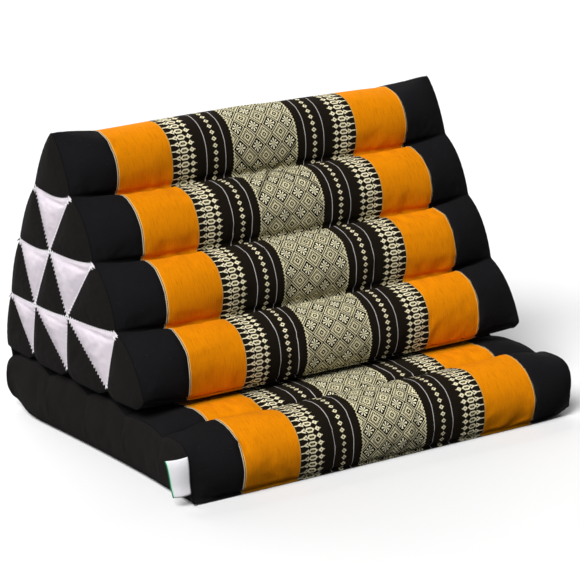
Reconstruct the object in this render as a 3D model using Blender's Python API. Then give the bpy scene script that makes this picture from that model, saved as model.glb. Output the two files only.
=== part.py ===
"""Triangle cushion of stuffed channels, standing on its fold-out seat mat.

Metres, +Z up. The origin is on the ground under the middle of the mat, +X runs along the channels and +Y
points to the back, where the cushion and its mat are joined by a strip of cloth.
"""

import math

import bmesh
import bpy
from mathutils import Vector

# Whole object
HALF_WIDTH = 0.250          # from the middle to the seam round each end
CLEARANCE = 0.0003          # between two pieces that touch
MAT_HEIGHT = 0.0702         # flattened crowns under the triangle
BASE_Z = MAT_HEIGHT + CLEARANCE

# Where the channels close towards the end seams
END_ZONE = 0.066
END_STEPS = (0.0, 0.28, 0.52, 0.72, 0.88, 1.0)
CHANNEL_STEPS = 6           # edges round one channel
CLOSING_POWER = 2.2         # channels stay round along most of that way and flatten in its last part
STAND_OUT_POWER = 3.0
MERGE_DISTANCE = 1e-5

# Seams between the channels of the triangle, from its base upwards.
# Each row: front y, front z, back y, back z.
SEAMS_MIDDLE = (
    (-0.090, 0.0740, 0.186, 0.0740),
    (-0.051, 0.1445, 0.1755, 0.1380),
    (-0.007, 0.2085, 0.152, 0.2035),
    (0.0435, 0.2690, 0.118, 0.2690),
)
SEAMS_END = (
    (-0.0963, 0.0847, 0.1862, 0.0760),
    (-0.0433, 0.1474, 0.1746, 0.1378),
    (0.0000, 0.2125, 0.1527, 0.2048),
    (0.0440, 0.2750, 0.1175, 0.2714),
)
RIDGE_MIDDLE = (0.0815, 0.3320)
RIDGE_END = (0.0800, 0.3390)

# How far a channel bulges from the straight line between its seams, for each metre of that line
FRONT_RISE_MIDDLE = (0.300, 0.270, 0.270, 0.236)
BACK_RISE_MIDDLE = (0.235, 0.240, 0.240, 0.236)
RISE_END = (0.105, 0.105, 0.105, 0.060)
LEAN = 0.10                 # more stuffing in the upper half of a channel

# Underside of the triangle
BASE_GROOVE = 0.006         # depth of a groove between two channels that rest on the mat
BASE_LIFT_END = 0.0030      # the underside rises by this at the end seams
BASE_FLAT = 0.5             # share of a channel that rests flat

# End patchwork: where its corners lie from front (0) to back (1), and how far they stand out of the end
PATCH_CORNERS = (
    (0.0, 0.24, 0.52, 0.78, 1.0),
    (0.0, 0.40, 0.71, 1.0),
    (0.0, 0.52, 1.0),
    (0.0, 1.0),
)
PATCH_CROWN = (
    (0.0, 0.003, 0.004, 0.003, 0.0),
    (0.0, 0.007, 0.007, 0.0),
    (0.0, 0.006, 0.0),
    (0.0, 0.0),
)
BASE_CORNER_Z = 0.0815      # patch corners along the bottom seam of an end
PATCH_PUFF = 0.0045         # how far the middle of a patch swells
PUFF_POWER = 0.6            # under 1 swells it nearly to its seams

# Seat mat
MAT_FRONT = -0.190
MAT_BACK = 0.188
MAT_SEAMS = (-0.129, -0.052, 0.025, 0.102)
MAT_HEM_Z = 0.004           # the seam round the foot of the mat
MAT_SEAM_Z = 0.0615
MAT_CROWN_FRONT = 0.0670    # the channel in front of the triangle
MAT_FRONT_RISE = 0.405      # bulge of the front channel, for each metre between its seams
MAT_BACK_REACH = 0.0035     # the back channel stands out this far behind its hem
MAT_FRONT_PULL = 0.0045     # the front corner seams are drawn in this far behind the hem
MAT_SIDE_Z = 0.026          # where the squared channels reach furthest
MAT_SQUARENESS = 3.4        # 2 would be a round edge, more is boxier
MAT_SHOULDER = 0.3          # share of a squared channel between its seam and its flat crown
MAT_HEM_BEND = 0.55         # where the squared side bends in to the hem
MAT_CROWN_FLAT = 0.2        # share of a channel's top that is pressed flat
MAT_FOOT_FLAT = 0.7         # and of its foot
MAT_FOOT_END = 0.88         # the foot turns up to the hem of each end after this much of the end zone
MAT_END_DROP = 0.0055       # the front corners of the mat are this much lower, and the back ones are not
MAT_END_PUFF = 0.004        # how far an end panel swells
MAT_END_ROWS = (0.3, 0.7)   # heights of its inner rows, from its top seam to its foot
MAT_EAR = 0.003             # the front corners stand out this far along X
MAT_EAR_SHARE = 0.25        # over this share of the mat's depth
MAT_DRAW_IN = 0.005         # and the middle of each end is drawn in this far
MAT_FOOT_GROOVE = 0.003
EDGE_STEPS = 12             # edges round the front and back channels

# Strip of cloth that joins the two cushions at the back
STRIP_THICKNESS = 0.0012
STRIP_HALF_LENGTH = 0.232
STRIP_ON_MAT = (9, 8, 7)         # where it lies on the mat's back channel, in edges from the seam
STRIP_ON_CUSHION = (5, 4)        # and on the lowest back channel of the triangle, in edges from its top

# Blank tab in the front left seam of the mat
TAB_THICKNESS = 0.0010
TAB_LENGTH_TOP = 0.029
TAB_LENGTH_BOTTOM = 0.022
TAB_ROWS = (0.9, 1.8, 2.7, 3.7, 4.7)         # where it is sewn in, in edges up the corner seam
TAB_CURL = 0.004

BLACK_COTTON = (0.012, 0.012, 0.014)
WHITE_COTTON = (0.80, 0.78, 0.78)


def clear_scene():
    for item in list(bpy.data.objects):
        bpy.data.objects.remove(item, do_unlink=True)


def mix(a, b, share):
    return tuple(p + (q - p) * share for p, q in zip(a, b))


def bulge(start, end, rise, steps, lean=0.0):
    """Points of a round channel that bulges to the left of the way from start to end, without the end."""
    chord = (end[0] - start[0], end[1] - start[1])
    side = (-chord[1], chord[0])
    half_angle = 2.0 * math.atan(2.0 * rise)
    points = []
    for step in range(steps):
        share = step / steps
        angle = (2.0 * share - 1.0) * half_angle
        along = 0.5 + math.sin(angle) / (2.0 * math.sin(half_angle))
        height = rise * (math.cos(angle) - math.cos(half_angle)) / (1.0 - math.cos(half_angle))
        height *= 1.0 - lean * math.cos(math.pi * share)
        points.append((start[0] + chord[0] * along + side[0] * height,
                       start[1] + chord[1] * along + side[1] * height))
    return points


def flat_channel(start, end, floor_z, flat, steps):
    """Points of a channel pressed flat at floor_z between two raised seams, without the end."""
    points = []
    for step in range(steps):
        share = step / steps
        y, seam_z = mix(start, end, share)
        rim = max(0.0, (abs(2.0 * share - 1.0) - flat) / (1.0 - flat))
        points.append((y, floor_z + (seam_z - floor_z) * rim * rim))
    return points


def squared_channel(seam, hem, crown, reach, steps):
    """Points of a boxed channel of the mat: from its seam over a flat crown and squarely down to the hem."""
    shoulder = int(steps * MAT_SHOULDER)
    brow_y = seam[0] + (hem[0] - seam[0]) * MAT_SHOULDER
    points = []
    for step in range(shoulder):
        share = step / shoulder
        rim = (1.0 - share) ** 2
        points.append((seam[0] + (brow_y - seam[0]) * share, crown + (seam[1] - crown) * rim))
    corner = steps - shoulder - 2
    power = 2.0 / MAT_SQUARENESS
    for step in range(corner + 1):
        angle = 0.5 * math.pi * step / corner
        points.append((brow_y + (hem[0] + reach - brow_y) * math.sin(angle) ** power,
                       MAT_SIDE_Z + (crown - MAT_SIDE_Z) * max(0.0, math.cos(angle)) ** power))
    points.append(mix(points[-1], hem, MAT_HEM_BEND))
    return points


def base_corners(closing):
    """Seams along the underside of the triangle, from front to back."""
    front_mid, back_mid = SEAMS_MIDDLE[0][:2], SEAMS_MIDDLE[0][2:]
    front_end, back_end = SEAMS_END[0][:2], SEAMS_END[0][2:]
    front = mix(front_mid, front_end, closing)
    back = mix(back_mid, back_end, closing)
    corners = []
    for share in PATCH_CORNERS[0]:
        y = front[0] + (back[0] - front[0]) * share
        z = BASE_Z + BASE_GROOVE + (BASE_CORNER_Z - BASE_Z - BASE_GROOVE) * closing
        corners.append((y, z))
    corners[0] = front
    corners[-1] = back
    return corners


def triangle_section(closing):
    """Closed outline (y, z) of the triangle: up the front, down the back, then along the underside.

    closing is 0 in the middle of the cushion and 1 at its end seams.
    """
    seams = [mix(middle, end, closing) for middle, end in zip(SEAMS_MIDDLE, SEAMS_END)]
    ridge = mix(RIDGE_MIDDLE, RIDGE_END, closing)
    front = [row[:2] for row in seams] + [ridge]
    back = [row[2:] for row in seams] + [ridge]
    fade = closing ** CLOSING_POWER
    outline = []
    for row in range(len(seams)):
        rise = FRONT_RISE_MIDDLE[row] + (RISE_END[row] - FRONT_RISE_MIDDLE[row]) * fade
        outline += bulge(front[row], front[row + 1], rise, CHANNEL_STEPS, LEAN)
    for row in reversed(range(len(seams))):
        rise = BACK_RISE_MIDDLE[row] + (RISE_END[row] - BACK_RISE_MIDDLE[row]) * fade
        outline += bulge(back[row + 1], back[row], rise, CHANNEL_STEPS, -LEAN)
    corners = base_corners(closing)
    floor_z = BASE_Z + BASE_LIFT_END * fade
    for cell in reversed(range(len(corners) - 1)):
        outline += flat_channel(corners[cell + 1], corners[cell], floor_z, BASE_FLAT, CHANNEL_STEPS)
    return outline


def stations():
    """Places along X from the left end seam to the right one, each with how far the channels have closed."""
    right = [(HALF_WIDTH - END_ZONE * (1.0 - step), step) for step in END_STEPS]
    left = [(-x, step) for x, step in reversed(right)]
    return left + right


def add_ring(mesh, x, outline):
    return [mesh.verts.new((x, y, z)) for y, z in outline]


def join_rings(mesh, first, second):
    count = len(first)
    for index in range(count):
        after = (index + 1) % count
        mesh.faces.new((first[index], second[index], second[after], first[after]))


def patch_corner(level, index):
    """Corner (outward, y, z) of the end patchwork."""
    if level == len(PATCH_CORNERS):
        return (0.0,) + RIDGE_END
    share = PATCH_CORNERS[level][index]
    if level == 0:
        return (PATCH_CROWN[level][index],) + base_corners(1.0)[index]
    row = SEAMS_END[level]
    y, z = mix(row[:2], row[2:], share)
    return (PATCH_CROWN[level][index], y, z)


def end_patch(corners, edges, steps):
    """Puffed triangular patch as a dict of (outward, y, z) points, keyed by how many steps from each corner.

    edges maps the number of a corner to the curved outline opposite it, with steps + 1 points.
    """
    points = {}
    for i in range(steps + 1):
        for j in range(steps + 1 - i):
            k = steps - i - j
            weights = (i / steps, j / steps, k / steps)
            point = [sum(w * c[axis] for w, c in zip(weights, corners)) for axis in range(3)]
            point[0] += PATCH_PUFF * (27.0 * weights[0] * weights[1] * weights[2]) ** PUFF_POWER
            for opposite, outline in edges.items():
                a, b = [n for n in range(3) if n != opposite]
                place = weights[b] / max(weights[a] + weights[b], 1e-9)
                low = min(int(place * steps + 1e-6), steps - 1)
                curved = mix(outline[low], outline[low + 1], place * steps - low)
                straight = mix(corners[a], corners[b], place)
                keep = (1.0 - weights[opposite]) ** 2
                point = [p + (c - s) * keep for p, c, s in zip(point, curved, straight)]
            points[(i, j, k)] = tuple(point)
    return points


def add_end(mesh, side, outline):
    """Close one end of the triangle with its lattice of upright and inverted patches."""
    steps = CHANNEL_STEPS
    levels = len(PATCH_CORNERS)
    loop = [(0.0, y, z) for y, z in outline]
    sides = [loop[row * steps:(row + 1) * steps + 1] for row in range(2 * levels)]
    front = sides[:levels]
    back = [edge[::-1] for edge in reversed(sides[levels:])]
    under = (loop + loop[:1])[2 * levels * steps:][::-1]
    for level in range(levels):
        cells = levels - level
        for cell in range(cells):
            apex_level = level + 1
            corners = (patch_corner(level, cell), patch_corner(level, cell + 1), patch_corner(apex_level, cell))
            edges = {}
            if cell == 0:
                edges[1] = front[level]
            if cell == cells - 1:
                edges[0] = back[level]
            if level == 0:
                edges[2] = base_edge(under, cell, steps)
            add_patch(mesh, side, end_patch(corners, edges, steps), steps)
            if cell < cells - 1:
                inverted = (patch_corner(apex_level, cell), patch_corner(apex_level, cell + 1),
                            patch_corner(level, cell + 1))
                add_patch(mesh, side, end_patch(inverted, {}, steps), steps)


def base_edge(under, cell, steps):
    """Bottom edge of one patch, with the corners' crown carried along it."""
    low, high = PATCH_CROWN[0][cell], PATCH_CROWN[0][cell + 1]
    points = under[cell * steps:(cell + 1) * steps + 1]
    return [(low + (high - low) * n / steps, p[1], p[2]) for n, p in enumerate(points)]


def add_patch(mesh, side, points, steps):
    verts = {}
    for key, (outward, y, z) in points.items():
        verts[key] = mesh.verts.new((side * (HALF_WIDTH + outward), y, z))
    for i in range(steps):
        for j in range(steps - i):
            k = steps - i - j
            mesh.faces.new((verts[(i, j, k)], verts[(i + 1, j, k - 1)], verts[(i, j + 1, k - 1)]))
            if k > 1:
                mesh.faces.new((verts[(i + 1, j, k - 1)], verts[(i + 1, j + 1, k - 2)], verts[(i, j + 1, k - 1)]))


def finish_object(name, mesh, material, smooth_angle=math.radians(50.0)):
    bmesh.ops.remove_doubles(mesh, verts=mesh.verts, dist=MERGE_DISTANCE)
    bmesh.ops.recalc_face_normals(mesh, faces=mesh.faces)
    data = bpy.data.meshes.new(name)
    mesh.to_mesh(data)
    mesh.free()
    data.shade_smooth()
    data.set_sharp_from_angle(angle=smooth_angle)
    data.materials.append(material)
    item = bpy.data.objects.new(name, data)
    bpy.context.collection.objects.link(item)
    return item


def cotton(name, colour):
    material = bpy.data.materials.new(name)
    material.use_nodes = True
    shader = material.node_tree.nodes["Principled BSDF"]
    shader.inputs["Base Color"].default_value = (*colour, 1.0)
    shader.inputs["Roughness"].default_value = 0.9
    shader.inputs["Metallic"].default_value = 0.0
    return material


def wedge_cushion():
    mesh = bmesh.new()
    rings = []
    for x, closing in stations():
        outline = triangle_section(closing)
        stand_out = base_stand_out(closing)
        ring = []
        for index, (y, z) in enumerate(outline):
            ring.append(mesh.verts.new((x + math.copysign(stand_out[index], x), y, z)))
        rings.append(ring)
    for first, second in zip(rings, rings[1:]):
        join_rings(mesh, first, second)
    outline = triangle_section(1.0)
    for side in (-1.0, 1.0):
        add_end(mesh, side, outline)
    return finish_object("wedge_cushion", mesh, cotton("wedge_cotton", BLACK_COTTON))


def base_stand_out(closing):
    """How far each point of the section stands out along X: only the bottom seam of an end does."""
    shift = [0.0] * (2 * len(SEAMS_END) * CHANNEL_STEPS)
    crown = PATCH_CROWN[0]
    for cell in reversed(range(len(crown) - 1)):
        for step in range(CHANNEL_STEPS):
            share = step / CHANNEL_STEPS
            stand_out = crown[cell + 1] + (crown[cell] - crown[cell + 1]) * share
            shift.append(stand_out * closing ** STAND_OUT_POWER)
    return shift


def corner_seam():
    """Front edge of an end panel of the mat, from the hem up and over to the first seam."""
    hem, seam = (MAT_FRONT, MAT_HEM_Z), (MAT_SEAMS[0], MAT_SEAM_Z - MAT_END_DROP)
    crown = MAT_CROWN_FRONT - MAT_END_DROP
    return [hem] + squared_channel(seam, hem, crown, MAT_FRONT_PULL, EDGE_STEPS)[:0:-1]


def mat_section(closing):
    """Closed outline (y, z) of the mat: over the top from front to back, then back along the underside."""
    fade = closing ** CLOSING_POWER
    drops = [MAT_END_DROP * fade * (1.0 - number / len(MAT_SEAMS)) for number in range(len(MAT_SEAMS) + 1)]
    seams = [(y, MAT_SEAM_Z - drop) for y, drop in zip(MAT_SEAMS, drops)]
    foot_front = (MAT_FRONT, MAT_HEM_Z)
    foot_back = (MAT_BACK, MAT_HEM_Z)
    round_front = bulge(foot_front, seams[0], MAT_FRONT_RISE, EDGE_STEPS)
    top = [mix(middle, end, fade) for middle, end in zip(round_front, corner_seam())]
    for number, (start, end) in enumerate(zip(seams, seams[1:])):
        crown = (MAT_CROWN_FRONT if number == 0 else MAT_HEIGHT) - drops[number]
        top += flat_channel(start, end, crown, MAT_CROWN_FLAT, CHANNEL_STEPS)
    top += squared_channel(seams[-1], foot_back, MAT_HEIGHT, MAT_BACK_REACH, EDGE_STEPS)
    groove_z = MAT_FOOT_GROOVE * (1.0 - closing)
    under_seams = [foot_back] + [(y, groove_z) for y in reversed(MAT_SEAMS)] + [foot_front]
    under_steps = (EDGE_STEPS, CHANNEL_STEPS, CHANNEL_STEPS, CHANNEL_STEPS, EDGE_STEPS)
    under = []
    for start, end, steps in zip(under_seams, under_seams[1:], under_steps):
        under += flat_channel(start, end, 0.0, MAT_FOOT_FLAT, steps)
    lift = MAT_HEM_Z * max(0.0, closing - MAT_FOOT_END) / (1.0 - MAT_FOOT_END)
    under = [(y, max(z, lift)) for y, z in under]
    return top + under


def mat_stand_out(closing, y):
    """How far the mat reaches past its end along X: ears at the front corners, drawn in behind them."""
    share = min(1.0, max(0.0, (y - MAT_FRONT) / (MAT_BACK - MAT_FRONT)))
    ear = MAT_EAR * max(0.0, 1.0 - share / MAT_EAR_SHARE)
    return (ear - MAT_DRAW_IN * math.sin(math.pi * share)) * closing ** STAND_OUT_POWER


def seat_mat():
    mesh = bmesh.new()
    rings = []
    for x, closing in stations():
        ring = []
        for y, z in mat_section(closing):
            ring.append(mesh.verts.new((x + math.copysign(mat_stand_out(closing, y), x), y, z)))
        rings.append(ring)
    for first, second in zip(rings, rings[1:]):
        join_rings(mesh, first, second)
    for side, ring in ((-1.0, rings[0]), (1.0, rings[-1])):
        add_mat_end(mesh, side, ring)
    return finish_object("seat_mat", mesh, cotton("mat_cotton", BLACK_COTTON))


def add_mat_end(mesh, side, ring):
    """Boxed end of the mat: a panel between the top and the foot seam that swells a little in its middle."""
    half = len(ring) // 2
    columns = []
    for index in range(half + 1):
        top = ring[index].co
        foot = ring[(2 * half - index) % (2 * half)].co
        edge = min(index, half - index) / EDGE_STEPS
        swell = MAT_END_PUFF * min(1.0, edge) ** 0.5
        inner = []
        for share in MAT_END_ROWS:
            point = top.lerp(foot, share)
            point.x += side * swell
            inner.append(mesh.verts.new(point))
        if index in (0, half):
            columns.append([ring[index]])
        else:
            columns.append([ring[index]] + inner + [ring[2 * half - index]])
    for left, right in zip(columns, columns[1:]):
        if len(left) == 1 or len(right) == 1:
            tip, column = (left[0], right) if len(left) == 1 else (right[0], left)
            for upper, lower in zip(column, column[1:]):
                mesh.faces.new((tip, upper, lower))
        else:
            for row in range(3):
                mesh.faces.new((left[row], left[row + 1], right[row + 1], right[row]))
    for vert in [v for v in mesh.verts if not v.link_faces]:
        mesh.verts.remove(vert)


def outline_place(points, place):
    """Point so many edges along a line of points, and the direction that points out of the channel there."""
    index = min(int(place), len(points) - 2)
    a, b = Vector(points[index]), Vector(points[index + 1])
    along = (b - a).normalized()
    return a.lerp(b, place - index), Vector((-along.y, along.x))


def hinge_strip():
    """Strip of cloth lying on the backs of both cushions and crossing the fold between them."""
    inner = []
    outer = []
    top_seam, hem = (MAT_SEAMS[-1], MAT_SEAM_Z), (MAT_BACK, MAT_HEM_Z)
    mat_back = squared_channel(top_seam, hem, MAT_HEIGHT, MAT_BACK_REACH, EDGE_STEPS)
    lowest, next_row = SEAMS_MIDDLE[0][2:], SEAMS_MIDDLE[1][2:]
    cushion_back = bulge(next_row, lowest, BACK_RISE_MIDDLE[0], CHANNEL_STEPS, -LEAN) + [lowest]
    places = [outline_place(mat_back, edge) for edge in STRIP_ON_MAT]
    places += [outline_place(cushion_back, edge) for edge in STRIP_ON_CUSHION]
    for point, outward in places:
        inner.append(point + outward * 2.0 * CLEARANCE)
        outer.append(point + outward * (2.0 * CLEARANCE + STRIP_THICKNESS))
    outline = inner + outer[::-1]
    mesh = bmesh.new()
    ends = [add_ring(mesh, x, outline) for x in (-STRIP_HALF_LENGTH, STRIP_HALF_LENGTH)]
    join_rings(mesh, *ends)
    for ring in ends:
        add_strip_end(mesh, ring)
    return finish_object("hinge_strip", mesh, cotton("strip_cotton", BLACK_COTTON))


def add_strip_end(mesh, ring):
    """Close an outline whose second half runs back along its first half."""
    count = len(ring)
    for index in range(count // 2 - 1):
        mesh.faces.new((ring[index], ring[index + 1], ring[count - 2 - index], ring[count - 1 - index]))


def side_tab():
    """Blank folded tab that stands out of the mat's front left seam."""
    seam = corner_seam()
    mesh = bmesh.new()
    rings = []
    for row, place in enumerate(TAB_ROWS):
        (y, z), _ = outline_place(seam, place)
        root_x = -HALF_WIDTH - mat_stand_out(1.0, y) - CLEARANCE
        front_y = y - CLEARANCE - TAB_THICKNESS
        length = TAB_LENGTH_BOTTOM + (TAB_LENGTH_TOP - TAB_LENGTH_BOTTOM) * row / (len(TAB_ROWS) - 1)
        ring = []
        for face_y in (front_y, front_y + TAB_THICKNESS):
            columns = (0.0, 0.5, 1.0) if face_y == front_y else (1.0, 0.5, 0.0)
            for column in columns:
                curl = TAB_CURL * math.sin(math.pi * column)
                ring.append(mesh.verts.new((root_x - length * column, face_y - curl, z)))
        rings.append(ring)
    for first, second in zip(rings, rings[1:]):
        join_rings(mesh, first, second)
    for ring in (rings[0], rings[-1]):
        add_strip_end(mesh, ring)
    return finish_object("side_tab", mesh, cotton("tab_cotton", WHITE_COTTON))


def build():
    clear_scene()
    seat_mat()
    wedge_cushion()
    hinge_strip()
    side_tab()


build()
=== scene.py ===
"""Looks of the triangle cushion and its fold-out seat mat.

Metres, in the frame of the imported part: +Z up, +X along the channels, +Y to the back where the mat is joined.
"""

import math

import bmesh
import bpy
import numpy as np
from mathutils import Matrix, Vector


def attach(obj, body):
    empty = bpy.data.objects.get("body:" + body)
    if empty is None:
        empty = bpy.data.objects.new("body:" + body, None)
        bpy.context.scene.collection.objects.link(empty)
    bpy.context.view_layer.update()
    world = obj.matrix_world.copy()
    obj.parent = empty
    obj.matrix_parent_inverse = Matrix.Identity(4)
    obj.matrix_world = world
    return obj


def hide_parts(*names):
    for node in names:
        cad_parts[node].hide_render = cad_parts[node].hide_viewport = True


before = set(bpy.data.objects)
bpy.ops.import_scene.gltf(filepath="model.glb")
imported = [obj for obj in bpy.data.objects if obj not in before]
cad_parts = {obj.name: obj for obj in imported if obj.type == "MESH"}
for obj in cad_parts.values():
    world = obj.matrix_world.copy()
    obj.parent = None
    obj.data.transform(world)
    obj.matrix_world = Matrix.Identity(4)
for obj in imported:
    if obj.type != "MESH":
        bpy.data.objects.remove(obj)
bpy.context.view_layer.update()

# The cushions as in the part's source
HALF_WIDTH = 0.250          # from the middle to the seam round each end
END_ZONE = 0.066            # the channels close over this length at each end
CLOSING_POWER = 2.2
STAND_OUT_POWER = 3.0
BASE_Z = 0.0705             # underside of the triangle, on the mat
SEAMS_MIDDLE = (            # front y, front z, back y, back z of each seam, from the base upwards
    (-0.090, 0.0740, 0.186, 0.0740),
    (-0.051, 0.1445, 0.1755, 0.1380),
    (-0.007, 0.2085, 0.152, 0.2035),
    (0.0435, 0.2690, 0.118, 0.2690),
)
SEAMS_END = (
    (-0.0963, 0.0847, 0.1862, 0.0760),
    (-0.0433, 0.1474, 0.1746, 0.1378),
    (0.0000, 0.2125, 0.1527, 0.2048),
    (0.0440, 0.2750, 0.1175, 0.2714),
)
RIDGE_MIDDLE = (0.0815, 0.3320)
RIDGE_END = (0.0800, 0.3390)
RIDGE_DROP = 0.0008         # by which the ends of the ridge are worn down
RIDGE_DROP_FROM = 0.80
FRONT_RISE_MIDDLE = (0.300, 0.270, 0.270, 0.236)
BACK_RISE_MIDDLE = (0.235, 0.240, 0.240, 0.236)
FRONT_RISE_END = (0.105, 0.105, 0.105, 0.060)
BACK_RISE_END = (0.065, 0.060, 0.060, 0.060)
LEAN = 0.10
BASE_GROOVE = 0.006
BASE_LIFT_END = 0.0030
BASE_FLAT = 0.5
PATCH_CORNERS = ((0.0, 0.24, 0.52, 0.78, 1.0), (0.0, 0.40, 0.71, 1.0), (0.0, 0.52, 1.0), (0.0, 1.0))
PATCH_CROWN = ((0.0, 0.003, 0.004, 0.003, 0.0), (0.0, 0.007, 0.007, 0.0), (0.0, 0.006, 0.0), (0.0, 0.0))
BASE_CORNER_Z = 0.0815
PATCH_PUFF = 0.0045
PUFF_POWER = 0.6

MAT_FRONT = -0.190
MAT_BACK = 0.188
MAT_SEAMS = (-0.129, -0.052, 0.025, 0.102)
MAT_HEIGHT = 0.0702
MAT_HEM_Z = 0.0012
MAT_SEAM_Z = 0.0615
MAT_CROWN_FRONT = 0.0670
MAT_FRONT_RISE = 0.405
MAT_BACK_REACH = 0.0035
MAT_FRONT_PULL = 0.0045
MAT_SIDE_Z = 0.026
MAT_SQUARENESS = 3.4
MAT_SHOULDER = 0.3
MAT_HEM_BEND = 0.55
MAT_CROWN_FLAT = 0.2
MAT_FOOT_FLAT = 0.7
MAT_FOOT_END = 0.88
MAT_FOOT_LIFT = 0.004
MAT_CORNER_LIFT = 0.011     # how far a bottom corner of the mat stands off the floor
MAT_CORNER_PULL = 0.009     # and how far it is drawn in
MAT_CORNER_REACH = 0.030
MAT_CORNER_HEIGHT = 0.038
TAB_CORNER_WEAR = 0.1       # share of that wear at the corner with the tab
MAT_END_DROP = 0.0055
MAT_END_PUFF = 0.004
MAT_EAR = 0.003
MAT_EAR_SHARE = 0.25
MAT_DRAW_IN = 0.005
MAT_FOOT_GROOVE = 0.003

# End patchwork
EDGE_SAG = ((0.0015, 0.001, 0.0), (0.0028, 0.003), (0.005,))
SAG_SKEW = 0.75             # below 1 an edge hangs lowest nearer the front
FRONT_BLUNT = 4             # steps by which a white corner is cut off at the front seam
BACK_BLUNT = 3
TUCK = 0.0026               # depth of the fold below a white patch's top edge
TUCK_PLACE = 0.04           # shares of the patch's height: where the fold starts,
TUCK_SLANT = 0.10           # how much lower it gets along the edge,
TUCK_REACH = 0.032          # and how wide it is

# How finely the cloth is modelled
LOBE_STEPS = 32             # edges round one channel of the triangle
CHANNEL_STEPS = 20          # edges across one of the mat's inner channels
EDGE_STEPS = 40             # edges round the mat's front and back channels
STATION_GAP = 0.0042        # between two sections along the width
SEAM_CROWDING = 0.75        # 1 gathers the edges of a channel at its seams, 0 spaces them evenly
MAT_END_ROWS = 9
RIDGE_REACH = 8             # points on each side of the ridge that are rounded
RIDGE_ROUNDS = 14

# Settling of the filled cloth
HELD_REACH = 0.0050         # distance over which a seam's hold fades
PATCH_SIZE = 0.060
SETTLING_FRAMES = 12
SLACK = 0.014               # extra cloth, as a share of its length
FILLING_PRESSURE = 4.0
SETTLING_LIMIT = 0.0020     # no point moves further than this

# Sewing
SEAM_DEPTH = 0.0055         # how much deeper than the solids a channel seam pulls the cloth
SEAM_PULL = 0.0019          # distance over which that fades
GATHER_DEPTH = 0.0007       # small folds beside the seams
GATHER_WAVE = 0.011
GATHER_START = 0.002
GATHER_REACH = 0.009
LUMP_DEPTH = 0.0009         # uneven filling between them
LUMP_WAVE = 0.055
LUMP_START = 0.02
PANEL_EDGE = 0.1934         # half the width of the patterned cloth, where black cotton is sewn on
PANEL_GROOVE = 0.0005
PANEL_GROOVE_REACH = 0.0011
HEM_LINE_Z = 0.0050
HEM_LINE_REACH = 0.0010
HEM_LINE_DEPTH = 0.0012
HEM_FLARE = 0.0030          # how far the rolled hem comes forward again below that line
HEM_FLARE_REACH = 0.0050
HEM_FLARE_FADE = 0.003
HEM_CELLS = 4               # faces by which the patterned cloth turns in under the cushion
REPEAT = 0.0073             # pitch of the woven border along the cloth
CUSHION_PHASE = 0.55        # where the cloth's pattern starts at the lowest front seam, in repeats
MAT_PHASE = 0.5
STITCH_GAP = 0.0045
STITCH_REACH = 0.0029       # on each side of the seam
STITCH_RADIUS = 0.00062
STITCH_ARCH = ((-1.0, -0.0003), (-0.6, 0.0003), (0.0, 0.0006), (0.6, 0.0003), (1.0, -0.0003))
RIDGE_RADIUS = 0.0006       # of the piped end seams
TUFT_LENGTH = 0.0055
TUFT_SHARES = (0.0, 0.3, 0.6, 0.85, 1.0)
TUFT_RADII = (0.00035, 0.0004, 0.0004, 0.0003, 0.00015)


def mix(a, b, share):
    return tuple(p + (q - p) * share for p, q in zip(a, b))


def crowded(steps):
    """Shares from 0 to just under 1 that crowd towards both ends."""
    even = np.arange(steps) / steps
    return (1.0 - SEAM_CROWDING) * even + SEAM_CROWDING * 0.5 * (1.0 - np.cos(math.pi * even))


def bulge(start, end, rise, steps, lean=0.0):
    """Points of a round channel that bulges to the left of the way from start to end, without the end."""
    chord = np.subtract(end, start)
    side = np.array((-chord[1], chord[0]))
    half_angle = 2.0 * math.atan(2.0 * rise)
    share = crowded(steps)
    angle = (2.0 * share - 1.0) * half_angle
    along = 0.5 + np.sin(angle) / (2.0 * math.sin(half_angle))
    height = rise * (np.cos(angle) - math.cos(half_angle)) / (1.0 - math.cos(half_angle))
    height *= 1.0 - lean * np.cos(math.pi * share)
    return np.array(start) + along[:, None] * chord + height[:, None] * side


def flat_channel(start, end, floor_z, flat, steps):
    """Points of a channel pressed flat at floor_z between two raised seams, without the end."""
    share = crowded(steps)[:, None]
    line = np.array(start) + share * np.subtract(end, start)
    rim = np.maximum(0.0, (np.abs(2.0 * share[:, 0] - 1.0) - flat) / (1.0 - flat))
    return np.column_stack((line[:, 0], floor_z + (line[:, 1] - floor_z) * rim ** 2))


def squared_channel(seam, hem, crown, reach, steps):
    """Points of a boxed channel of the mat: from its seam over a flat crown and squarely down to the hem."""
    shoulder = int(steps * MAT_SHOULDER)
    brow_y = seam[0] + (hem[0] - seam[0]) * MAT_SHOULDER
    share = np.arange(shoulder) / shoulder
    top_y = seam[0] + (brow_y - seam[0]) * share
    top = np.column_stack((top_y, crown + (seam[1] - crown) * (1.0 - share) ** 2))
    corner = steps - shoulder - 4
    angle = 0.5 * math.pi * np.arange(corner + 1) / corner
    power = 2.0 / MAT_SQUARENESS
    side = np.column_stack((
        brow_y + (hem[0] + reach - brow_y) * np.sin(angle) ** power,
        MAT_SIDE_Z + (crown - MAT_SIDE_Z) * np.maximum(0.0, np.cos(angle)) ** power,
    ))
    bend = np.array([mix(side[-1], hem, MAT_HEM_BEND * share) for share in (0.4, 0.8, 1.3)])
    return np.vstack((top, side, bend))


def rows_to_points(*parts):
    return np.vstack([np.array(part).reshape(-1, 2) for part in parts])


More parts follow.
